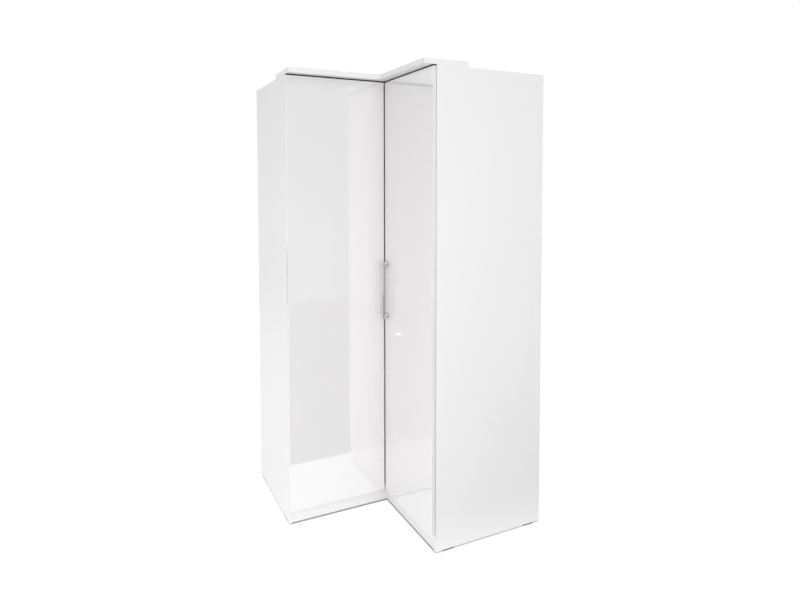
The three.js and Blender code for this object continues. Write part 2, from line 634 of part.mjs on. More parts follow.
function handle() {
  const group = new THREE.Group();
  group.position.set(0, -DOOR_CORNER_GAP - HANDLE_INSET, HANDLE_HEIGHT);
  const half = HANDLE_HOLE_SPACING / 2;
  group.add(piece("handle_bar", handleBar(), "satin", -HANDLE_REACH));
  group.add(piece("handle_upper_foot", handleFoot(), "satin", 0, 0, half));
  group.add(piece("handle_lower_foot", handleFoot(), "satin", 0, 0, -half));
  group.add(piece("handle_upper_screw", handleScrew(), "zinc", 0, 0, half));
  group.add(piece("handle_lower_screw", handleScrew(), "zinc", 0, 0, -half));
  return group;
}

// Screw holes for the handle, in the frame of the door leaf
const handleHoles = [-1, 1].map((way) => {
  const hole = rod(SCREW_RADIUS + SCREW_CLEARANCE, DOOR_THICKNESS + 2 * OVERRUN);
  const z = HANDLE_HEIGHT + (way * HANDLE_HOLE_SPACING) / 2 - DOOR_BOTTOM;
  return hole.translate(doorWidth - HANDLE_INSET, DOOR_THICKNESS / 2, z);
});

// The right wing mirrors the left one in the diagonal of the inner corner
const left = new THREE.Group();
left.add(wing("left", false), door("left"));
const right = new THREE.Group();
right.add(wing("right", true), door("right", handleHoles));
right.matrix.set(0, 1, 0, 0, 1, 0, 0, 0, 0, 0, 1, 0, 0, 0, 0, 1);
right.matrixAutoUpdate = false;

const corner = new THREE.Group();
const rearFoot = boardBack - FOOT_INSET;
const frontFoot = carcassFront + FOOT_INSET;
const shelfJoint = carcassFront + SHELF_SETBACK - CONTACT / 2;
const boardJoint = carcassFront - CONTACT / 2;
const plateDrop = CONTACT + PLATE_THICKNESS / 2;
corner.add(foot("centre_foot", frontFoot, frontFoot));
corner.add(foot("rear_foot", rearFoot, rearFoot));
corner.add(jointPlate("bottom_joint_plate", boardJoint, BASE_HEIGHT - plateDrop));
corner.add(jointPlate("shelf_joint_plate", shelfJoint, shelfUnderside - plateDrop));
corner.add(jointPlate("top_joint_plate", boardJoint, topUnderside - plateDrop));
corner.add(cornerHanger());

const wardrobe = new THREE.Group();
wardrobe.name = "corner_wardrobe";
wardrobe.position.set((WING_WIDTH - WING_DEPTH) / 2, (WING_WIDTH - WING_DEPTH) / 2, 0);
wardrobe.add(left, right, corner, handle());

export default wardrobe;
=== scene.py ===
# %% [markdown]
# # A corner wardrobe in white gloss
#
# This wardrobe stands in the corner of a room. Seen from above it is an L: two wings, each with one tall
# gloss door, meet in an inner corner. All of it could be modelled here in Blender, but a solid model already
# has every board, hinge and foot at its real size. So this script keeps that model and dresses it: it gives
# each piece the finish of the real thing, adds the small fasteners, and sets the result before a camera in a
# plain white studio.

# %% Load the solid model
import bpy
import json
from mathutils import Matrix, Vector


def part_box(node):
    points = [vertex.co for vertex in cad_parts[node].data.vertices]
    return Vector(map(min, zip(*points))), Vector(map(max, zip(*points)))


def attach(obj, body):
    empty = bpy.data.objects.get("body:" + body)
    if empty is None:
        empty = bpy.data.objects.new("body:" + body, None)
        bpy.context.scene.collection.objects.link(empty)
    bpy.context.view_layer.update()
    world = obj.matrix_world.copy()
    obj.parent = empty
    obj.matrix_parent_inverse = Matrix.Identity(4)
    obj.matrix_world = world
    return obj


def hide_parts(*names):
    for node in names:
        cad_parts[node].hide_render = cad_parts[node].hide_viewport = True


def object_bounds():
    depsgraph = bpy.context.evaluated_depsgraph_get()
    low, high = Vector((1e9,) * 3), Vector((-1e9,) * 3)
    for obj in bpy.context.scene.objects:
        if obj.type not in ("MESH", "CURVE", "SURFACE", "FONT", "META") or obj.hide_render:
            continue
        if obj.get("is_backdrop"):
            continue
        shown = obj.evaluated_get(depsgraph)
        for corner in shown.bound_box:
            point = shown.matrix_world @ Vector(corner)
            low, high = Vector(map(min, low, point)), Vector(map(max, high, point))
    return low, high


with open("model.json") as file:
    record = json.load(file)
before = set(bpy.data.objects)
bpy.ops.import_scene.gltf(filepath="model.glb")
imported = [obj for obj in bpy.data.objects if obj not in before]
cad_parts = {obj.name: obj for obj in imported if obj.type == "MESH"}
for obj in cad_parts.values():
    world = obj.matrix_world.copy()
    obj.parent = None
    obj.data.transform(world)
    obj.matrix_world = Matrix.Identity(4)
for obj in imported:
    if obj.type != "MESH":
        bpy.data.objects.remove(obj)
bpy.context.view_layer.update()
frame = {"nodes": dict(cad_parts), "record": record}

# %% Modules and the millimetre
import json
import math

import bmesh
import bpy
from mathutils import Matrix, Vector

MM = 0.001

# %% [markdown]
# ## Inner corner
#
# The doors meet in the inner corner, and that corner is the easiest point to measure from. The left door's
# face looks towards -Y and the right door's face towards -X. The corner's place could be typed in, but it is
# read from the boxes of the two doors, so that the places below follow the solid model if that changes.

# %% The inner corner
left_door_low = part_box("left_door")[0]
right_door_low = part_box("right_door")[0]
corner = Vector((right_door_low.x, left_door_low.y, 0.0))
print("inner corner:", tuple(round(value, 4) for value in corner))

# %% [markdown]
# ## Camera
#
# A product photographer stands the camera at eye height and keeps it nearly level, so that the tall sides
# stay almost upright in the picture, and then shifts the lens down to take in the floor. Tilting the camera
# would take in the floor as well, but then the sides would lean. Blender's camera has the photographer's
# movement: `shift_y`. The camera's place was worked out from the edges of the wardrobe in the photograph,
# whose frame is 800 by 600 pixels. The lens was measured in those pixels too.

# %% The camera
PHOTO_WIDTH = 800
PHOTO_HEIGHT = 600
FOCAL_PIXELS = 606.15
AXIS_PIXEL_X = 409.27  # the lens looks straight at this pixel, counted from the top left
AXIS_PIXEL_Y = 214.72
CAMERA_FROM_CORNER = Vector((-1.2372, -2.7124, 1.6020))
HEADING = math.radians(26.85)
PITCH = math.radians(-2.90)
UPRIGHT = math.radians(90)  # an unturned camera looks straight down
SENSOR_WIDTH = 36.0


def make_camera():
    data = bpy.data.cameras.new("camera")
    data.sensor_width = SENSOR_WIDTH
    data.lens = FOCAL_PIXELS / PHOTO_WIDTH * SENSOR_WIDTH
    data.shift_x = (PHOTO_WIDTH / 2 - AXIS_PIXEL_X) / PHOTO_WIDTH
    data.shift_y = (AXIS_PIXEL_Y - PHOTO_HEIGHT / 2) / PHOTO_WIDTH
    camera = bpy.data.objects.new("camera", data)
    camera.location = corner + CAMERA_FROM_CORNER
    camera.rotation_euler = (UPRIGHT + PITCH, 0.0, -HEADING)
    bpy.context.scene.collection.objects.link(camera)
    bpy.context.scene.camera = camera
    return camera


camera = make_camera()
print("lens, in millimetres:", round(camera.data.lens, 2))

# %% [markdown]
# ## Studio
#
# White furniture on a white ground is hard to light: too much light and the edges vanish, too little and
# white turns grey. The room here is an even, pale sky with a few large soft lamps. What the camera sees, what
# a mirror sees and what lights the wardrobe could all be one brightness, as in a real room. Blender can keep
# them apart with its Light Path node, and a studio photographer's white ground needs that. The helpers
# below build such trees of nodes.

# %% Helpers that build a node tree
WHITE = (1.0, 1.0, 1.0, 1.0)


def new_node(tree, kind, **inputs):
    node = tree.nodes.new(kind)
    for name, value in inputs.items():
        node.inputs[name].default_value = value
    return node


def feed(tree, value, socket):
    """Gives a socket either another node's output or a plain value."""
    if isinstance(value, bpy.types.NodeSocket):
        tree.links.new(value, socket)
    else:
        socket.default_value = value


def calculate(tree, operation, first, second):
    node = tree.nodes.new("ShaderNodeMath")
    node.operation = operation
    feed(tree, first, node.inputs[0])
    feed(tree, second, node.inputs[1])
    return node.outputs["Value"]


def mix_shaders(tree, factor, first, second):
    """The first shader where the factor is 0, and the second where it is 1."""
    mix = tree.nodes.new("ShaderNodeMixShader")
    feed(tree, factor, mix.inputs["Fac"])
    tree.links.new(first, mix.inputs[1])
    tree.links.new(second, mix.inputs[2])
    return mix.outputs["Shader"]


def seen_by(tree, *kinds):
    """1 for a ray of one of these kinds, and 0 for any other."""
    path = tree.nodes.new("ShaderNodeLightPath")
    seen, *others = [path.outputs[f"Is {kind} Ray"] for kind in kinds]
    for other in others:
        seen = calculate(tree, "MAXIMUM", seen, other)
    return seen


# %% [markdown]
# ### Sky
#
# The even light of the room comes from the sky. A picture of a studio could be wrapped round the scene for
# it, but a plain white lights every side of the wardrobe alike, which suits an object that is looked at from
# all round. The sky lights the wardrobe at less than full strength. The camera, and whatever mirrors the sky
# or lets it through, sees it as pure white.

# %% The sky
SKY_STRENGTH = 0.67


def make_sky():
    world = bpy.data.worlds.new("pale_sky")
    world.use_nodes = True
    bpy.context.scene.world = world
    tree = world.node_tree
    tree.nodes.clear()
    lighting = new_node(tree, "ShaderNodeBackground", Color=WHITE, Strength=SKY_STRENGTH)
    shown = new_node(tree, "ShaderNodeBackground", Color=WHITE, Strength=1.0)
    seen = seen_by(tree, "Camera", "Glossy", "Transmission")
    sky = mix_shaders(tree, seen, lighting.outputs["Background"], shown.outputs["Background"])
    output = tree.nodes.new("ShaderNodeOutputWorld")
    tree.links.new(sky, output.inputs["Surface"])


make_sky()
print("strength of the sky:", SKY_STRENGTH)

# %% [markdown]
# ### Ground
#
# The floor is pale grey, and the wardrobe stands on a white sheet whose front edge lies a little way before
# the right wing. The gloss doors mirror that sheet in their lower part and the darker floor beyond it higher
# up. A pattern on one large floor could do the same, but sheets that lie less than a millimetre apart are
# easier to shape. The camera sees floor, sheet and sky as white: that white is added for the camera alone,
# so it puts no light on the wardrobe, and the paint under it still takes the soft shadow. Two more sheets
# under the wardrobe carry painted shade. Between the side panels little white is added, so the narrow joint
# under the plinths stays dark, and under the side panels a little more, so their black glides stand out.
# Both also look darker in mirrors, a painted shade in the reflection.

# %% A helper that lays a sheet of the ground
SHOWN_PAINT = (0.5, 0.5, 0.5, 1.0)
LAYER_GAP = 0.4 * MM


def add_flat(name, corners):
    """A flat part of the stage, and the tree of its material, still empty."""
    mesh = bpy.data.meshes.new(name)
    mesh.from_pydata(corners, [], [range(len(corners))])
    flat = bpy.data.objects.new(name, mesh)
    bpy.context.scene.collection.objects.link(flat)
    material = bpy.data.materials.new(name)
    material.use_nodes = True
    material.node_tree.nodes.clear()
    mesh.materials.append(material)
    flat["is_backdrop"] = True
    return flat, material.node_tree


def make_ground(name, outline, layer, paint, mirrored, white):
    """A sheet with a paint, a brightness of its own in mirrors, and a white added for the camera."""
    tree = add_flat(name, [(x, y, -layer * LAYER_GAP) for x, y in outline])[1]
    painted = new_node(tree, "ShaderNodeBsdfDiffuse", Color=paint)
    in_mirror = new_node(tree, "ShaderNodeEmission", Color=WHITE, Strength=mirrored)
    shown_paint = new_node(tree, "ShaderNodeBsdfDiffuse", Color=SHOWN_PAINT)
    added_white = new_node(tree, "ShaderNodeEmission", Color=WHITE, Strength=white)
    shown = tree.nodes.new("ShaderNodeAddShader")
    tree.links.new(shown_paint.outputs["BSDF"], shown.inputs[0])
    tree.links.new(added_white.outputs["Emission"], shown.inputs[1])
    mirror = seen_by(tree, "Glossy", "Transmission")
    surface = mix_shaders(tree, mirror, painted.outputs["BSDF"], in_mirror.outputs["Emission"])
    surface = mix_shaders(tree, seen_by(tree, "Camera"), surface, shown.outputs["Shader"])
    output = tree.nodes.new("ShaderNodeOutputMaterial")
    tree.links.new(surface, output.inputs["Surface"])


# %% Lay the ground
FLOOR_PAINT = (0.42, 0.42, 0.42, 1.0)
SHEET_PAINT = (0.74, 0.74, 0.74, 1.0)
FLOOR_MIRRORED = 0.32
SHEET_MIRRORED = 1.0
# Painted shade under the wardrobe: the two sheets there look darker in mirrors, and less white is added for
# the camera.
SHADE_MIRRORED = 0.45
SHOWN_WHITE = 0.67
WHITE_UNDER_PANELS = 0.36
WHITE_BETWEEN_PANELS = 0.08
SHEET_LEFT = 1.9  # in metres from the inner corner, as the next two are
SHEET_FRONT = 0.61
FLOOR_FRONT = 5.2
FAR_AWAY = 12.0
left_end_low, left_end_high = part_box("left_side_panel")
right_end_low, right_end_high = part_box("right_side_panel")


def rectangle(left, front):
    """From this far left of the inner corner and in front of it, to far behind the wardrobe."""
    low_x, low_y = corner.x - left, corner.y - front
    return [(low_x, low_y), (FAR_AWAY, low_y), (FAR_AWAY, FAR_AWAY), (low_x, FAR_AWAY)]


def outline_of_wings(left, front):
    """The L that the wings cover, with the left wing's end at left and the right wing's at front."""
    back = left_end_high.y
    return [
        (left, back),
        (left, left_end_low.y),
        (right_end_low.x, left_end_low.y),
        (right_end_low.x, front),
        (right_end_high.x, front),
        (right_end_high.x, back),
    ]


floor_outline = rectangle(FLOOR_FRONT, FLOOR_FRONT)
sheet_outline = rectangle(SHEET_LEFT, SHEET_FRONT)
under_panels = outline_of_wings(left_end_low.x, right_end_low.y)
between_panels = outline_of_wings(left_end_high.x, right_end_high.y)
SHEETS = (  # from the lowest up
    ("floor", floor_outline, FLOOR_PAINT, FLOOR_MIRRORED, SHOWN_WHITE),
    ("white_sheet", sheet_outline, SHEET_PAINT, SHEET_MIRRORED, SHOWN_WHITE),
    # the last two sheets are painted shade under the wardrobe
    ("painted_shade_under_panels", under_panels, SHEET_PAINT, SHADE_MIRRORED, WHITE_UNDER_PANELS),
    ("painted_shade_between_panels", between_panels, SHEET_PAINT, SHADE_MIRRORED, WHITE_BETWEEN_PANELS),
)
for number, (name, outline, paint, mirrored, white) in enumerate(SHEETS):
    make_ground(name, outline, len(SHEETS) - number, paint, mirrored, white)
print("sheets of the ground:", len(SHEETS))

# %% [markdown]
# ### Far wall
#
# Beyond the floor, behind the camera, stands a wall. It is there for the gloss doors alone, which would
# otherwise mirror an endless white sky and lose their shine. Four real walls would also shade the wardrobe,
# so there is one, and the camera, the shadows and the light on the wardrobe pass it by.

# %% The wall behind the camera
WALL_MIRRORED = 0.47
WALL_HEIGHT = 9.0


def make_far_wall():
    behind = corner.y - FLOOR_FRONT
    corners = [(-FAR_AWAY, 0), (FAR_AWAY, 0), (FAR_AWAY, WALL_HEIGHT), (-FAR_AWAY, WALL_HEIGHT)]
    wall, tree = add_flat("far_wall", [(x, behind, z) for x, z in corners])
    glow = new_node(tree, "ShaderNodeEmission", Color=WHITE, Strength=WALL_MIRRORED)
    output = tree.nodes.new("ShaderNodeOutputMaterial")
    tree.links.new(glow.outputs["Emission"], output.inputs["Surface"])
    wall.visible_camera = False
    wall.visible_diffuse = False
    wall.visible_shadow = False
    wall.visible_transmission = False


make_far_wall()
print("height of the far wall, in metres:", WALL_HEIGHT)

# %% [markdown]
# ### Lamps
#
# Five softboxes tell the faces of the wardrobe apart. The top one lights what looks up, and the front one
# what looks towards -Y. The side one reaches into the inner corner and along the right door, the low one
# lifts the plinths, and the left one lights the left side panel. A sun lamp would need fewer settings, but
# its shadows are hard and it can't be kept to one side. The doors don't mirror these five, because a
# photographer keeps the softboxes out of the gloss as well.

# %% The lamps
def make_lamp(name, place, size, power, aim):
    data = bpy.data.lights.new(name, "AREA")
    data.shape = "SQUARE"
    data.size = size
    data.energy = power
    lamp = bpy.data.objects.new(name, data)
    lamp.location = place
    lamp.rotation_euler = (Vector(aim) - Vector(place)).to_track_quat("-Z", "Y").to_euler()
    lamp.visible_camera = False
    lamp.visible_glossy = False
    bpy.context.scene.collection.objects.link(lamp)
    return lamp


make_lamp("top_softbox", place=(-0.5, -3.4, 5.0), size=2.4, power=32.5, aim=(0.0, -0.2, 1.0))
make_lamp("front_softbox", place=(-0.3, -3.8, 1.3), size=1.8, power=44.0, aim=(0.0, -0.2, 0.9))
make_lamp("side_softbox", place=(-3.1, -1.3, 0.9), size=1.2, power=17.5, aim=(-0.3, -0.2, 0.7))
make_lamp("low_softbox", place=(-2.3, -1.7, 0.3), size=1.0, power=20.0, aim=(-0.1, -0.1, 0.1))
make_lamp("left_softbox", place=(-2.2, 1.9, 0.6), size=1.0, power=13.5, aim=(-0.53, 0.25, 0.5))
print("softboxes:", ", ".join(data.name for data in bpy.data.lights))

# %% [markdown]
# ### Glint
#
# One more lamp is tiny. It lights nothing to speak of, but the two gloss doors throw its image back
# together, as a short bright stroke beside the inner corner, under the handle. The stroke could be painted
# on the door, but then it would stay there when the door opens, and a real reflection doesn't.

# %% The glint in the doors
GLINT_WIDTH = 55 * MM
GLINT_HEIGHT = 16 * MM
GLINT_POWER = 0.02
GLINT_PLACE = (-1.37, -2.622, 0.134)
GLINT_AIM = (-0.03, 0.05, 0.85)

glint = make_lamp("glint", GLINT_PLACE, GLINT_WIDTH, GLINT_POWER, GLINT_AIM)
glint.data.shape = "RECTANGLE"
glint.data.size_y = GLINT_HEIGHT
glint.visible_glossy = True
print("lamps with the glint:", len(bpy.data.lights))

# %% [markdown]
# ### Colours in the picture
#
# Blender's usual view transform softens bright colours as film does, and turns this white wardrobe grey.
# Standard shows each colour as it is written, which a catalogue picture needs.

# %% Colour management
bpy.context.scene.view_settings.view_transform = "Standard"
print("view transform:", bpy.context.scene.view_settings.view_transform)

# %% [markdown]
# ## Finishes
#
# Every finish is made of nodes. Photographs of board and metal could be laid on the pieces instead, but they
# blur close up and repeat. A pattern of nodes is measured in metres on the piece itself, through its object
# coordinates, so it turns with a door and keeps its true scale. The first helpers make the two patterns
# that come back in most finishes, cloudy noise and small cells.

# %% Helpers for patterns
PLAIN_INDEX = 1.5  # the refractive index of most paints and plastics


def start_finish(name, metallic=0.0, ior=PLAIN_INDEX):
    material = bpy.data.materials.new(name)
    material.use_nodes = True
    tree = material.node_tree
    shader = tree.nodes["Principled BSDF"]
    shader.inputs["Metallic"].default_value = metallic
    shader.inputs["IOR"].default_value = ior
    return material, tree, shader


def on_the_piece(tree, stretch=(1.0, 1.0, 1.0)):
    """Places on the piece in metres, stretched where a pattern runs in one direction."""
    place = tree.nodes.new("ShaderNodeTexCoord").outputs["Object"]
    mapping = new_node(tree, "ShaderNodeMapping", Scale=stretch)
    tree.links.new(place, mapping.inputs["Vector"])
    return mapping.outputs["Vector"]


def cloudy(tree, place, scale, detail=2.0):
    noise = new_node(tree, "ShaderNodeTexNoise", Scale=scale, Detail=detail)
    tree.links.new(place, noise.inputs["Vector"])
    return noise.outputs["Fac"]


def cells(tree, place, scale):
    voronoi = new_node(tree, "ShaderNodeTexVoronoi", Scale=scale)
    tree.links.new(place, voronoi.inputs["Vector"])
    return voronoi.outputs["Color"]


# %% [markdown]
# A pattern then steers something of the finish: its roughness, its colour or its relief. A relief could be
# real geometry, but a pearl of a few hundredths of a millimetre would take millions of faces, so it is a
# bump. The last helper is a mask. It tells the faces of a board apart by the way they look, so one material
# can have a lacquered front and a plain back.

# %% Helpers that put a pattern to use
MIX_FACTOR, MIX_FIRST, MIX_SECOND, MIX_RESULT = 0, 6, 7, 2  # the Mix node's sockets for colours
SAME_WAY = 0.8  # the least cosine of the angle between a face and the direction it looks in


def spread(tree, value, low, high):
    """A pattern that runs from 0 to 1, carried over to run from low to high."""
    node = new_node(tree, "ShaderNodeMapRange", **{"To Min": low, "To Max": high})
    tree.links.new(value, node.inputs["Value"])
    return node.outputs["Result"]


def mix_colours(tree, factor, first, second):
    """The first colour where the factor is 0, and the second where it is 1."""
    node = tree.nodes.new("ShaderNodeMix")
    node.data_type = "RGBA"
    feed(tree, factor, node.inputs[MIX_FACTOR])
    feed(tree, first, node.inputs[MIX_FIRST])
    feed(tree, second, node.inputs[MIX_SECOND])
    return node.outputs[MIX_RESULT]


def add_bump(tree, shader, height, strength, distance):
    bump = new_node(tree, "ShaderNodeBump", Strength=strength, Distance=distance)
    tree.links.new(height, bump.inputs["Height"])
    tree.links.new(bump.outputs["Normal"], shader.inputs["Normal"])


def face_towards(tree, *directions):
    """1 on the faces that look in one of the directions, and 0 elsewhere."""
    normal = tree.nodes.new("ShaderNodeTexCoord").outputs["Normal"]
    mask = 0.0
    for direction in directions:
        dot = tree.nodes.new("ShaderNodeVectorMath")
        dot.operation = "DOT_PRODUCT"
        tree.links.new(normal, dot.inputs[0])
        dot.inputs[1].default_value = direction
        looks = calculate(tree, "GREATER_THAN", dot.outputs["Value"], SAME_WAY)
        mask = calculate(tree, "MAXIMUM", mask, looks)
    return mask


# %% [markdown]
# ### Melamine board
#
# The sides, shelves and cornice are chipboard with a white melamine skin. The skin isn't quite smooth: it is
# pressed with a fine pearl, a millimetre across, which softens its shine. A maker leaves the edges that
# nobody sees unlipped, so the back and bottom edges of the side panels show the raw chipboard. Those edges
# could be picked out one by one and given a second material. Here one material finds them by their
# direction, and gives them a brown pattern of flakes instead of the white.

# %% White board
BOARD_WHITE = (0.765, 0.765, 0.765, 1.0)
BOARD_BRIGHT = (0.785, 0.785, 0.787, 1.0)
BOARD_CLOUDS = 3.0
BOARD_ROUGHNESS = (0.34, 0.50)
PEARL_SCALE = 1100.0
PEARL_STRENGTH = 0.25
PEARL_HEIGHT = 0.04 * MM
FLAKE_DARK = (0.30, 0.19, 0.10, 1.0)
FLAKE_PALE = (0.64, 0.48, 0.30, 1.0)
FLAKE_SCALE = 420.0
RAW_EXTRA_HEIGHT = 8.0


def make_white_board(name, raw_faces=()):
    material, tree, shader = start_finish(name)
    place = on_the_piece(tree)
    colour = mix_colours(tree, cloudy(tree, place, BOARD_CLOUDS), BOARD_WHITE, BOARD_BRIGHT)
    pearl = cloudy(tree, place, PEARL_SCALE)
    height = pearl
    if raw_faces:
        flakes = cells(tree, place, FLAKE_SCALE)
        chipboard = mix_colours(tree, flakes, FLAKE_DARK, FLAKE_PALE)
        raw = face_towards(tree, *raw_faces)
        colour = mix_colours(tree, raw, colour, chipboard)
        rough_skin = calculate(tree, "MULTIPLY", raw, RAW_EXTRA_HEIGHT)
        height = calculate(tree, "MULTIPLY", pearl, calculate(tree, "ADD", rough_skin, 1.0))
    tree.links.new(colour, shader.inputs["Base Color"])
    tree.links.new(spread(tree, pearl, *BOARD_ROUGHNESS), shader.inputs["Roughness"])
    add_bump(tree, shader, height, PEARL_STRENGTH, PEARL_HEIGHT)
    return material


# %% [markdown]
# ### Gloss door
#
# Each door is a board with a lacquered face and a plain matt inside. Gloss lacquer mirrors much more than
# bare board. A clear coat over a white paint could show that too. Here the paint itself has a high refractive
# index and specular level and almost no roughness, which makes the mirrored images as strong as the
# photograph's. A lacquered face is never perfectly flat: it waves by a few hundredths of a millimetre over
# the width of a hand, which bends straight reflections a little. The waves are a bump of low, broad noise.

# %% Gloss white
GLOSS_WHITE = (0.777, 0.766, 0.772, 1.0)
GLOSS_DEEP = (0.767, 0.756, 0.762, 1.0)
GLOSS_CLOUDS = 2.0
GLOSS_INDEX = 2.1
GLOSS_SPECULAR = 0.9
POLISH_SCALE = 40.0
POLISHED = (0.02, 0.05)
INSIDE_ROUGHNESS = 0.45
WAVE_SCALE = 9.0
WAVE_DETAIL = 1.0
WAVE_STRENGTH = 0.35
WAVE_HEIGHT = 0.6 * MM


def make_gloss_door(name, inner_face):
    material, tree, shader = start_finish(name, ior=GLOSS_INDEX)
    shader.inputs["Specular IOR Level"].default_value = GLOSS_SPECULAR
    place = on_the_piece(tree)
    colour = mix_colours(tree, cloudy(tree, place, GLOSS_CLOUDS), GLOSS_WHITE, GLOSS_DEEP)
    inside = face_towards(tree, inner_face)
    tree.links.new(mix_colours(tree, inside, colour, BOARD_WHITE), shader.inputs["Base Color"])
    polished = spread(tree, cloudy(tree, place, POLISH_SCALE), *POLISHED)
    matt = calculate(tree, "MULTIPLY", inside, INSIDE_ROUGHNESS)
    tree.links.new(calculate(tree, "MAXIMUM", polished, matt), shader.inputs["Roughness"])
    waves = cloudy(tree, place, WAVE_SCALE, WAVE_DETAIL)
    add_bump(tree, shader, waves, WAVE_STRENGTH, WAVE_HEIGHT)
    return material


# %% [markdown]
# ### Back sheet
#
# The back is a thin fibreboard that slides into grooves. Its inside is printed white. Its outside and its cut
# edges stay the warm brown of pressed wood fibre, mottled and faintly hairy, as anyone sees who moves such a
# wardrobe. The hairs are too short to model one by one. A fine noise with much detail stands for them, laid
# over a broad one for the mottling.

# %% Fibreboard
FIBRE_DARK = (0.25, 0.16, 0.09, 1.0)
FIBRE_PALE = (0.42, 0.29, 0.18, 1.0)
PRINTED_WHITE = (0.78, 0.78, 0.77, 1.0)
FIBRE_SCALE = 260.0
FIBRE_DETAIL = 8.0
FIBRE_SHARE = 0.7
FIBRE_ROUGHNESS = (0.45, 0.70)
FIBRE_STRENGTH = 0.3
FIBRE_HEIGHT = 0.1 * MM
MOTTLE_SCALE = 9.0
MOTTLE_DETAIL = 3.0


def make_back_sheet(name, inner_face):
    material, tree, shader = start_finish(name)
    place = on_the_piece(tree)
    fibres = cloudy(tree, place, FIBRE_SCALE, FIBRE_DETAIL)
    clouds = cloudy(tree, place, MOTTLE_SCALE, MOTTLE_DETAIL)
    fine = calculate(tree, "MULTIPLY", fibres, FIBRE_SHARE)
    broad = calculate(tree, "MULTIPLY", clouds, 1.0 - FIBRE_SHARE)
    brown = mix_colours(tree, calculate(tree, "ADD", fine, broad), FIBRE_DARK, FIBRE_PALE)
    inside = face_towards(tree, inner_face)
    tree.links.new(mix_colours(tree, inside, brown, PRINTED_WHITE), shader.inputs["Base Color"])
    tree.links.new(spread(tree, fibres, *FIBRE_ROUGHNESS), shader.inputs["Roughness"])
    add_bump(tree, shader, fibres, FIBRE_STRENGTH, FIBRE_HEIGHT)
    return material


# %% [markdown]
# ### Metals
#
# Four metals tell themselves apart by how they were treated. The handle was brushed along its length, so its
# scratches are noise stretched along Z. Its satin skin scatters light as well as mirroring it, so it isn't
# wholly metallic. The hinges are nickel-plated, warm and nearly smooth. The rails are bright chrome. The
# brackets are zinc-plated: zinc sets in crystals a few millimetres wide, each a slightly different grey,
# which small cells imitate. Each metal could have a tree of its own, but they differ only in numbers, so one
# helper makes them all.

# %% Brushed and plated metal
SATIN_DARK = (0.68, 0.68, 0.69, 1.0)
SATIN_PALE = (0.80, 0.80, 0.81, 1.0)
NICKEL_DARK = (0.52, 0.49, 0.45, 1.0)
NICKEL_PALE = (0.66, 0.63, 0.59, 1.0)
CHROME_DARK = (0.74, 0.75, 0.76, 1.0)
CHROME_PALE = (0.84, 0.85, 0.86, 1.0)
ZINC_DARK = (0.42, 0.44, 0.47, 1.0)
ZINC_PALE = (0.66, 0.68, 0.71, 1.0)
SATIN_METALLIC = 0.9
BRUSHED_ALONG_Z = (1.0, 1.0, 0.012)
METAL_DETAIL = 4.0
SCRATCHES_PER_PATTERN = 2.0
SCRATCH_STRENGTH = 0.15
SCRATCH_HEIGHT = 0.03 * MM


def make_metal(name, dark, pale, scale, roughness, stretch=(1.0, 1.0, 1.0), crystals=False, metallic=1.0):
    material, tree, shader = start_finish(name, metallic)
    place = on_the_piece(tree, stretch)
    pattern = cells(tree, place, scale) if crystals else cloudy(tree, place, scale, METAL_DETAIL)
    tree.links.new(mix_colours(tree, pattern, dark, pale), shader.inputs["Base Color"])
    tree.links.new(spread(tree, pattern, *roughness), shader.inputs["Roughness"])
    scratches = cloudy(tree, place, scale * SCRATCHES_PER_PATTERN)
    add_bump(tree, shader, scratches, SCRATCH_STRENGTH, SCRATCH_HEIGHT)
    return material


# %% [markdown]
# ### Plastic and rubber
#
# The feet and glides are black polypropylene with a moulded grain. The seal above the doors is softer and
# darker, with a little grey dust in its skin. The small round buffers are clear polyurethane, like drops of
# glue, so some light passes through them. Flat colours would do for pieces this small, but they would look
# like holes close up, so each gets two colours and a grain.

# %% Moulded plastic and rubber
PLASTIC_BLACK = (0.012, 0.012, 0.013, 1.0)
PLASTIC_WORN = (0.026, 0.026, 0.027, 1.0)
RUBBER_BLACK = (0.006, 0.006, 0.006, 1.0)
RUBBER_DUSTY = (0.018, 0.018, 0.018, 1.0)
BUFFER_CLEAR = (0.82, 0.84, 0.85, 1.0)
BUFFER_CLOUDED = (0.74, 0.76, 0.77, 1.0)
BUFFER_TRANSMISSION = 0.6
MOULDING_DETAIL = 3.0
GRAIN_STRENGTH = 0.4
GRAIN_HEIGHT = 0.12 * MM


def make_moulding(name, first, second, scale, roughness, grain, transmission=0.0):
    material, tree, shader = start_finish(name)
    shader.inputs["Transmission Weight"].default_value = transmission
    place = on_the_piece(tree)
    pattern = cloudy(tree, place, scale, MOULDING_DETAIL)
    tree.links.new(mix_colours(tree, pattern, first, second), shader.inputs["Base Color"])
    tree.links.new(spread(tree, pattern, *roughness), shader.inputs["Roughness"])
    add_bump(tree, shader, cloudy(tree, place, grain), GRAIN_STRENGTH, GRAIN_HEIGHT)
    return material


# %% [markdown]
# ### List of finishes
#
# The solid model's record names a slot for each piece, and a slot is a finish. They could be made one by one
# where a piece needs them. They stand in one list instead, because their scales and roughnesses are easier
# to weigh against each other there. A scale says how many specks of a pattern fit in a metre.

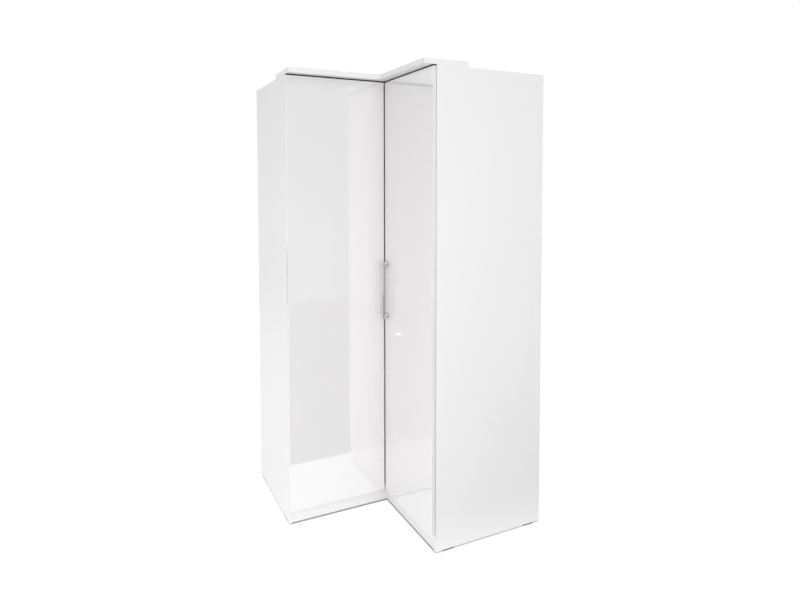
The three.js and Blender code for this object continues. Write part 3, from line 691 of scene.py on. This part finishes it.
# %% All the finishes, by the name of their slot
finishes = {
    "white_board": make_white_board("white_board"),
    "satin_metal": make_metal(
        "satin_metal", SATIN_DARK, SATIN_PALE, scale=2400.0, roughness=(0.10, 0.18),
        stretch=BRUSHED_ALONG_Z, metallic=SATIN_METALLIC,
    ),
    "nickel": make_metal("nickel", NICKEL_DARK, NICKEL_PALE, scale=500.0, roughness=(0.18, 0.30)),
    "rail_chrome": make_metal("rail_chrome", CHROME_DARK, CHROME_PALE, scale=60.0, roughness=(0.05, 0.11)),
    "zinc_steel": make_metal(
        "zinc_steel", ZINC_DARK, ZINC_PALE, scale=300.0, roughness=(0.32, 0.48), crystals=True
    ),
    "black_plastic": make_moulding(
        "black_plastic", PLASTIC_BLACK, PLASTIC_WORN, scale=90.0, roughness=(0.42, 0.60), grain=1400.0
    ),
    "black_rubber": make_moulding(
        "black_rubber", RUBBER_BLACK, RUBBER_DUSTY, scale=120.0, roughness=(0.70, 0.90), grain=900.0
    ),
    "clear_buffer": make_moulding(
        "clear_buffer", BUFFER_CLEAR, BUFFER_CLOUDED, scale=200.0, roughness=(0.20, 0.35), grain=600.0,
        transmission=BUFFER_TRANSMISSION,
    ),
}
print("finishes:", ", ".join(finishes))

# %% [markdown]
# ## Dressing the solid model
#
# The record names a finish for every piece of the solid model. Most pieces just take it. Doors, back sheets
# and side panels have one face that differs from the others, and that face looks another way in each wing.
# They could be cut into two pieces, face and rest, but a real door is one board. So these three kinds get a
# finish of their own for each wing.

# %% Dress each piece
REAR_OF_WING = {"left": (0.0, 1.0, 0.0), "right": (1.0, 0.0, 0.0)}
DOWNWARDS = (0.0, 0.0, -1.0)
wing_finishes = {}
for side, rear in REAR_OF_WING.items():
    front = tuple(-value for value in rear)
    wing_finishes[f"{side}_door"] = make_gloss_door(f"gloss_white_{side}", rear)
    wing_finishes[f"{side}_back_sheet"] = make_back_sheet(f"back_sheet_{side}", front)
    wing_finishes[f"{side}_side_panel"] = make_white_board(f"white_board_{side}", (rear, DOWNWARDS))

for entry in frame["record"]["subparts"]:
    name = entry["node"]
    node = frame["nodes"][name]
    finish = wing_finishes.get(name) or finishes[entry["material_slot"]]
    node.data.materials.clear()
    node.data.materials.append(finish)

# %% [markdown]
# ## Working in a wing
#
# The two wings are mirror images. A fastener in the left wing has its twin in the right wing at the same
# distance along the wing and the same depth behind the door face. Each could be placed twice in the room's
# own measures, but then a slip in one wing goes unseen. So every fastener is placed once, in the wing's own
# measures, and a matrix carries it into the room: the first number runs from the inner corner along the
# wing, the second from the door face to the back, and the third up from the floor.

# %% The two wings
WINGS = {
    "left": Matrix(((-1, 0, 0, corner.x), (0, 1, 0, corner.y), (0, 0, 1, 0), (0, 0, 0, 1))),
    "right": Matrix(((0, 1, 0, corner.x), (-1, 0, 0, corner.y), (0, 0, 1, 0), (0, 0, 0, 1))),
}
INWARDS = Vector((-1.0, 0.0, 0.0))
OUTWARDS = Vector((0.0, -1.0, 0.0))
BACKWARDS = Vector((0.0, 1.0, 0.0))
UP = Vector((0.0, 0.0, 1.0))
DOWN = Vector((0.0, 0.0, -1.0))


def wing_box(side, node):
    """A node's lowest and highest corner in its wing's own measures."""
    into_wing = WINGS[side].inverted()
    first, second = (into_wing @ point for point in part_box(node))
    return Vector(map(min, first, second)), Vector(map(max, first, second))


for side in WINGS:
    low, high = wing_box(side, f"{side}_door")
    print(side, "door, in millimetres:", [round(value / MM, 1) for value in (*low, *high)])

# %% [markdown]
# ## Making a piece
#
# A piece is a mesh with a name, a finish and a body that it moves with. The door's pieces swing with the
# door's leaf, and all the others stay with the carcass. Faces that meet at less than `CREASE` are shaded as
# one smooth surface, and sharper edges stay crisp. A bevel on every edge would do that too, at the price of
# many more faces on screws a few millimetres wide.

# %% A helper that finishes a piece
CREASE = math.radians(35)
PIECES = []


def make_piece(name, shape, side, body, slot, replaced=()):
    bmesh.ops.transform(shape, matrix=WINGS[side], verts=shape.verts)
    bmesh.ops.recalc_face_normals(shape, faces=shape.faces)
    mesh = bpy.data.meshes.new(name)
    shape.to_mesh(mesh)
    shape.free()
    mesh.polygons.foreach_set("use_smooth", [True] * len(mesh.polygons))
    mesh.set_sharp_from_angle(angle=CREASE)
    mesh.materials.append(finishes[slot])
    piece = bpy.data.objects.new(name, mesh)
    bpy.context.scene.collection.objects.link(piece)
    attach(piece, body)
    if replaced:
        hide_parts(*replaced)
    PIECES.append(name)


# %% [markdown]
# Most small parts are turned or drawn: a row of equal loops of points, joined by a skin, with a cap at each
# end. Blender's screw modifier turns an outline as well, but it can't end in another shape, such as the
# cross of a screw. The helpers below can, and they serve screws, caps, rails and the feet of the handle.

# %% Helpers that skin a row of loops
def add_skin(shape, loops):
    rings = [[shape.verts.new(point) for point in loop] for loop in loops]
    for lower, upper in zip(rings, rings[1:]):
        for step in range(len(lower)):
            following = (step + 1) % len(lower)
            shape.faces.new((lower[step], lower[following], upper[following], upper[step]))
    shape.faces.new(list(reversed(rings[0])))
    shape.faces.new(rings[-1])


def stand_at(place, facing, spin=0.0):
    """A matrix that stands a turned part at its place, with its Z axis along facing."""
    turn = facing.to_track_quat("Z", "Y").to_matrix().to_4x4()
    return Matrix.Translation(place) @ turn @ Matrix.Rotation(spin, 4, "Z")


def turned_loops(matrix, profile, steps):
    """Loops of a turned part. The profile gives its radius at each height."""
    angles = [2 * math.pi * step / steps for step in range(steps)]
    rings = [[Vector((math.cos(a) * r, math.sin(a) * r, height)) for a in angles] for r, height in profile]
    return [[matrix @ point for point in ring] for ring in rings]


def add_turned(shape, place, facing, profile, steps):
    add_skin(shape, turned_loops(stand_at(place, facing), profile, steps))


# %% [markdown]
# ## Cross-head screws
#
# Flat-pack furniture is held by small plated screws with a cross recess, and a screw that lacks its recess
# looks like a rivet. The recess could be cut with a boolean, which leaves long thin faces round it. Instead
# the head is turned in 24 steps, and the outline of the cross has 24 points too. Each point of the rim joins
# one point of the cross, and the recess is then pushed in and narrowed like the seat of a real bit. Each
# screw stops at its own angle, because nobody lines up the screws of a wardrobe.

# %% The screw
CROSS_REACH = 0.52  # a share of the head's radius, as the half width is
CROSS_HALF_WIDTH = 0.13
CROSS_TAPER = 0.55  # the seat's size, as a share of the mouth's
CROSS_DEPTH = 0.75  # a share of the head's height
HEAD_PROFILE = ((1.0, 0.0), (1.0, 0.2), (0.96, 0.5), (0.85, 0.8), (0.68, 1.0))
HEAD_STEPS = 24
TURN_OF_A_SCREW = 2.4  # in radians, from one screw to the next
screws_made = 0


def cross_outline():
    reach, half = CROSS_REACH, CROSS_HALF_WIDTH
    middle = (reach + half) / 2
    quarter = [(reach, 0), (reach, half), (middle, half), (half, half), (half, middle), (half, reach)]
    spins = [Matrix.Rotation(math.radians(90 * turn), 2) for turn in range(4)]
    return [spin @ Vector(point) for spin in spins for point in quarter]


def add_screw(shape, place, facing, radius, height):
    global screws_made
    screws_made += 1
    matrix = stand_at(place, facing, screws_made * TURN_OF_A_SCREW)
    profile = [(radius * width, height * level) for width, level in HEAD_PROFILE]
    loops = turned_loops(matrix, profile, HEAD_STEPS)
    for size, level in ((1.0, 1.0), (CROSS_TAPER, 1.0 - CROSS_DEPTH)):
        cross = [Vector((x * radius * size, y * radius * size, height * level)) for x, y in cross_outline()]
        loops.append([matrix @ point for point in cross])
    add_skin(shape, loops)


print("points in the outline of the cross:", len(cross_outline()))

# %% [markdown]
# ## Hinge screws
#
# Each concealed hinge has a cup in the door, held by two screws through its ears, and an arm that is clipped
# to a winged plate on the side panel, held by two more. Two large screws on the arm adjust the door: the
# front one moves it sideways and the rear one in and out. The screws could be part of the solid hinge, but
# heads this small are finer than its facets. They are placed from the boxes of the cup and the side panel,
# so they stay on the hinge.

# %% Screws of the hinges
HINGES_PER_DOOR = 4
EAR_LINE = 6 * MM  # from the middle of the cup, away from the side panel
EAR_SCREW_SPACING = 47 * MM
EAR_SCREW_RADIUS = 3.1 * MM
EAR_SCREW_HEIGHT = 0.9 * MM
PLATE_SCREW_SPACING = 32 * MM
PLATE_SCREW_LINE = 55 * MM  # behind the door face, as the adjusters' lines are
PLATE_FACE = 2.6 * MM  # off the side panel, as the arm's face is
PLATE_SCREW_RADIUS = 3.2 * MM
PLATE_SCREW_HEIGHT = 1.2 * MM
ARM_FACE = 12.6 * MM
ADJUSTER_LINES = (40 * MM, 63 * MM)
ADJUSTER_RADIUS = 3.4 * MM
ADJUSTER_HEIGHT = 0.8 * MM
panel_inner_face = wing_box("left", "left_side_panel")[0].x

for side in WINGS:
    leaf_screws = bmesh.new()
    carcass_screws = bmesh.new()
    for number in range(1, HINGES_PER_DOOR + 1):
        cup_low, cup_high = wing_box(side, f"{side}_hinge_cup_{number}")
        middle = (cup_low + cup_high) / 2
        for way in (-0.5, 0.5):
            height = middle.z + way * EAR_SCREW_SPACING
            place = Vector((middle.x - EAR_LINE, cup_high.y, height))
            add_screw(leaf_screws, place, BACKWARDS, EAR_SCREW_RADIUS, EAR_SCREW_HEIGHT)
            height = middle.z + way * PLATE_SCREW_SPACING
            place = Vector((panel_inner_face - PLATE_FACE, PLATE_SCREW_LINE, height))
            add_screw(carcass_screws, place, INWARDS, PLATE_SCREW_RADIUS, PLATE_SCREW_HEIGHT)
        for line in ADJUSTER_LINES:
            place = Vector((panel_inner_face - ARM_FACE, line, middle.z))
            add_screw(carcass_screws, place, INWARDS, ADJUSTER_RADIUS, ADJUSTER_HEIGHT)
    make_piece(f"{side}_hinge_cup_screws", leaf_screws, side, f"{side}_leaf", "zinc_steel")
    make_piece(f"{side}_hinge_arm_screws", carcass_screws, side, "carcass", "zinc_steel")
print("screws in the hinges:", screws_made)

# %% [markdown]
# ## Handle
#
# The right door opens with a bar handle: a satin rod that lies in two domed feet. The solid model has the
# same shape in coarse facets. Smooth shading alone doesn't hide them, because a close look at metal shows
# each facet as a stripe. So here the rod and the feet are turned again with many more of them. The rod's
# ends are eased. Each foot keeps a straight rim at the door and closes to the rod along a curve, and its
# narrow end vanishes into the rod.

# %% The handle
ROD_EASE = 1.5 * MM
ROD_STEPS = 40
EASE_STEPS = 5
FOOT_SHOULDER = 4 * MM  # where the straight rim ends, off the door face
FOOT_TURN = 14.5 * MM  # where the dome would have its corner, if it weren't curved
FOOT_STEPS = 56
DOME_STEPS = 14


def add_rod(shape, low, high):
    radius, length = (high.x - low.x) / 2, high.z - low.z
    foot = Vector(((low.x + high.x) / 2, (low.y + high.y) / 2, low.z))
    angles = [math.radians(90 * step / EASE_STEPS) for step in range(EASE_STEPS + 1)]
    end = [(radius - ROD_EASE * (1 - math.sin(a)), ROD_EASE * (1 - math.cos(a))) for a in angles]
    profile = end + [(width, length - height) for width, height in reversed(end)]
    add_turned(shape, foot, UP, profile, ROD_STEPS)


def add_foot(shape, low, high, neck):
    """A foot whose dome curves from its rim through a turning point to the neck at the rod."""
    radius, middle = (high.z - low.z) / 2, (low + high) / 2
    rim = Vector((radius, FOOT_SHOULDER))
    turn = Vector((radius, FOOT_TURN))
    top = Vector((neck, -low.y))
    profile = [(radius, -high.y)]
    for step in range(DOME_STEPS + 1):
        travel = step / DOME_STEPS
        point = rim.lerp(turn, travel).lerp(turn.lerp(top, travel), travel)
        profile.append(tuple(point))
    place = Vector((middle.x, 0.0, middle.z))
    add_turned(shape, place, OUTWARDS, profile, FOOT_STEPS)


rod_low, rod_high = wing_box("right", "handle_bar")
handle_shape = bmesh.new()
add_rod(handle_shape, rod_low, rod_high)
for node in ("handle_upper_foot", "handle_lower_foot"):
    add_foot(handle_shape, *wing_box("right", node), (rod_high.x - rod_low.x) / 2)
handle_nodes = ("handle_bar", "handle_upper_foot", "handle_lower_foot")
make_piece("bar_handle", handle_shape, "right", "right_leaf", "satin_metal", handle_nodes)
print("rod of the handle, in millimetres:", [round(value / MM, 1) for value in (*rod_low, *rod_high)])

# %% [markdown]
# The handle's two screws come from inside the door. Only their heads show, and only when the door is open.
# The solid model has them whole, with plain heads. The shanks are never seen, so each screw is replaced by a
# head with its cross.

# %% The screws of the handle
HANDLE_SCREW_HEAD = 2.4 * MM

handle_screws = bmesh.new()
for node in ("handle_upper_screw", "handle_lower_screw"):
    low, high = wing_box("right", node)
    middle = (low + high) / 2
    seat = Vector((middle.x, high.y - HANDLE_SCREW_HEAD, middle.z))
    add_screw(handle_screws, seat, BACKWARDS, (high.x - low.x) / 2, HANDLE_SCREW_HEAD)
screw_nodes = ("handle_upper_screw", "handle_lower_screw")
make_piece("handle_screw_heads", handle_screws, "right", "right_leaf", "zinc_steel", screw_nodes)
print("screws with the handle's:", screws_made)

# %% [markdown]
# ## Clothes rails
#
# An oval steel tube hangs under the hat shelf in each wing. In the solid model it is a ring of facets, and
# chrome shows them all. A subdivision modifier would round them, but it would change the oval too. So the
# tube is drawn again with a fine outline. Its ends vanish into the flange on the side panel and into the
# corner hanger.

# %% Rails
OVAL_STEPS = 16


def add_tube(shape, low, high):
    """An oval tube along the wing: half a circle over another, carried to both ends."""
    middle, radius = (low + high) / 2, (high.y - low.y) / 2
    straight = (high.z - low.z) / 2 - radius
    outline = []
    for start, way in ((0, 1), (180, -1)):
        for step in range(OVAL_STEPS + 1):
            angle = math.radians(start + 180 * step / OVAL_STEPS)
            outline.append((math.cos(angle) * radius, math.sin(angle) * radius + way * straight))
    ends = (low.x, high.x)
    add_skin(shape, [[Vector((end, middle.y + y, middle.z + z)) for y, z in outline] for end in ends])


for side in WINGS:
    low, high = wing_box(side, f"{side}_clothes_rail")
    rail_shape = bmesh.new()
    add_tube(rail_shape, low, high)
    make_piece(f"{side}_rail_tube", rail_shape, side, "carcass", "rail_chrome", (f"{side}_clothes_rail",))
    print(side, "rail, in millimetres:", round((high.x - low.x) / MM, 1))

# %% [markdown]
# Two screws hold each flange to its side panel, above and below the rail, and four hold the corner hanger
# under the shelf. The holes aren't looked for in the mesh: the middle of each fitting's box and the spacing
# of its screws say where they sit.

# %% Screws of the rails' ends
FLANGE_SCREW_OFFSET = 22 * MM  # from the middle of the flange
FLANGE_BASE = 2.5 * MM
FLANGE_SCREW_RADIUS = 2.9 * MM
FLANGE_SCREW_HEIGHT = 1.1 * MM
HANGER_SCREW_OFFSET = 21 * MM
HANGER_PLATE = 3 * MM

for side in WINGS:
    flange_screws = bmesh.new()
    low, high = wing_box(side, f"{side}_rail_flange")
    middle = (low + high) / 2
    for way in (-1, 1):
        place = Vector((high.x - FLANGE_BASE, middle.y, middle.z + way * FLANGE_SCREW_OFFSET))
        add_screw(flange_screws, place, INWARDS, FLANGE_SCREW_RADIUS, FLANGE_SCREW_HEIGHT)
    make_piece(f"{side}_flange_screws", flange_screws, side, "carcass", "zinc_steel")

hanger_screws = bmesh.new()
low, high = wing_box("left", "corner_rail_hanger")
middle = (low + high) / 2
for way_x in (-1, 1):
    for way_y in (-1, 1):
        offset = Vector((way_x * HANGER_SCREW_OFFSET, way_y * HANGER_SCREW_OFFSET, 0))
        place = Vector((middle.x, middle.y, high.z - HANGER_PLATE)) + offset
        add_screw(hanger_screws, place, DOWN, FLANGE_SCREW_RADIUS, FLANGE_SCREW_HEIGHT)
make_piece("hanger_screws", hanger_screws, "left", "carcass", "zinc_steel")
print("screws with the rails':", screws_made)

# %% [markdown]
# ## Screws of the plates
#
# Where the boards of the two wings meet, a steel plate underneath pulls them together. On the roof, an angle
# bracket in each wing keeps the wardrobe from tipping. It is screwed to the top board, and its upright leg
# waits for a screw into the wall. These screws are larger than the hinges' and carry more, so the same
# helper is given a wider and higher head.

# %% Screws of the joint plates and wall brackets
PLATE_HOLE_OFFSET = 30 * MM
JOINT_SCREW_RADIUS = 4.2 * MM
JOINT_SCREW_HEIGHT = 1.5 * MM
BRACKET_SCREW_LINE = 14 * MM
BRACKET_LEG_THICKNESS = 2.5 * MM

joint_screws = bmesh.new()
for level in ("bottom", "shelf", "top"):
    low, high = wing_box("left", f"{level}_joint_plate")
    middle = (low + high) / 2
    for way in (-1, 1):
        place = Vector((middle.x + way * PLATE_HOLE_OFFSET, middle.y, low.z))
        add_screw(joint_screws, place, DOWN, JOINT_SCREW_RADIUS, JOINT_SCREW_HEIGHT)
make_piece("joint_plate_screws", joint_screws, "left", "carcass", "zinc_steel")

for side in WINGS:
    bracket_screws = bmesh.new()
    low, high = wing_box(side, f"{side}_wall_bracket")
    place = Vector(((low.x + high.x) / 2, low.y + BRACKET_SCREW_LINE, low.z + BRACKET_LEG_THICKNESS))
    add_screw(bracket_screws, place, UP, JOINT_SCREW_RADIUS, JOINT_SCREW_HEIGHT)
    make_piece(f"{side}_bracket_screws", bracket_screws, side, "carcass", "zinc_steel")
print("screws in all:", screws_made)

# %% [markdown]
# ## Cover caps
#
# Cam fittings pull the boards tight against the side panels, and a white cap covers each of them on the
# underside of its board. A cap is a thin disc with a rounded rim, so it is turned like the screws. A flat
# disc would be simpler, but it would catch no light along its edge.

# %% Caps over the cam fittings
BOARDS = ("bottom_board", "hat_shelf", "top_board")
CAP_PROFILE = ((8.5 * MM, 0.0), (8.5 * MM, 0.5 * MM), (8.1 * MM, 0.9 * MM), (5.5 * MM, 1.2 * MM))
CAP_STEPS = 32
CAP_FROM_PANEL = 34 * MM
CAP_DEPTHS = (96 * MM, 486 * MM)  # behind the door face

for side in WINGS:
    caps = bmesh.new()
    for board in BOARDS:
        low, high = wing_box(side, f"{side}_{board}")
        for depth in CAP_DEPTHS:
            place = Vector((panel_inner_face - CAP_FROM_PANEL, depth, low.z))
            add_turned(caps, place, DOWN, CAP_PROFILE, CAP_STEPS)
    make_piece(f"{side}_cam_caps", caps, side, "carcass", "white_board")
print("cover caps:", len(WINGS) * len(BOARDS) * len(CAP_DEPTHS))

# %% [markdown]
# ## Back pins
#
# The back sheet is pinned to the rear edges of the boards, and the pins' flat heads stand in a row across
# the brown fibreboard. The rows follow the boards, so their heights are read from the boards' boxes, and an
# even spacing fills the width of the sheet.

# %% Pins of the back sheets
PIN_PROFILE = ((2.2 * MM, 0.0), (2.2 * MM, 0.3 * MM), (1.6 * MM, 0.6 * MM))
PIN_STEPS = 14
PINS_PER_ROW = 6
PIN_MARGIN = 40 * MM  # from the sheet's edge to the first pin

for side in WINGS:
    pins = bmesh.new()
    sheet_low, sheet_high = wing_box(side, f"{side}_back_sheet")
    first, last = sheet_low.x + PIN_MARGIN, sheet_high.x - PIN_MARGIN
    for board in BOARDS:
        low, high = wing_box(side, f"{side}_{board}")
        for number in range(PINS_PER_ROW):
            along = first + (last - first) * number / (PINS_PER_ROW - 1)
            place = Vector((along, sheet_high.y, (low.z + high.z) / 2))
            add_turned(pins, place, BACKWARDS, PIN_PROFILE, PIN_STEPS)
    make_piece(f"{side}_back_pins", pins, side, "carcass", "nickel")
print("pieces added:", ", ".join(PIECES))

# %% [markdown]
# ## Finishing
#
# The new pieces must not make the wardrobe larger than the solid model. So the size of the visual model is
# measured here, in metres, and printed. A measure shows even a screw head that stands proud, which the eye
# would miss.

# %% Sizes
low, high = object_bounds()
print("visual model, in metres:", [round(value, 4) for value in high - low])
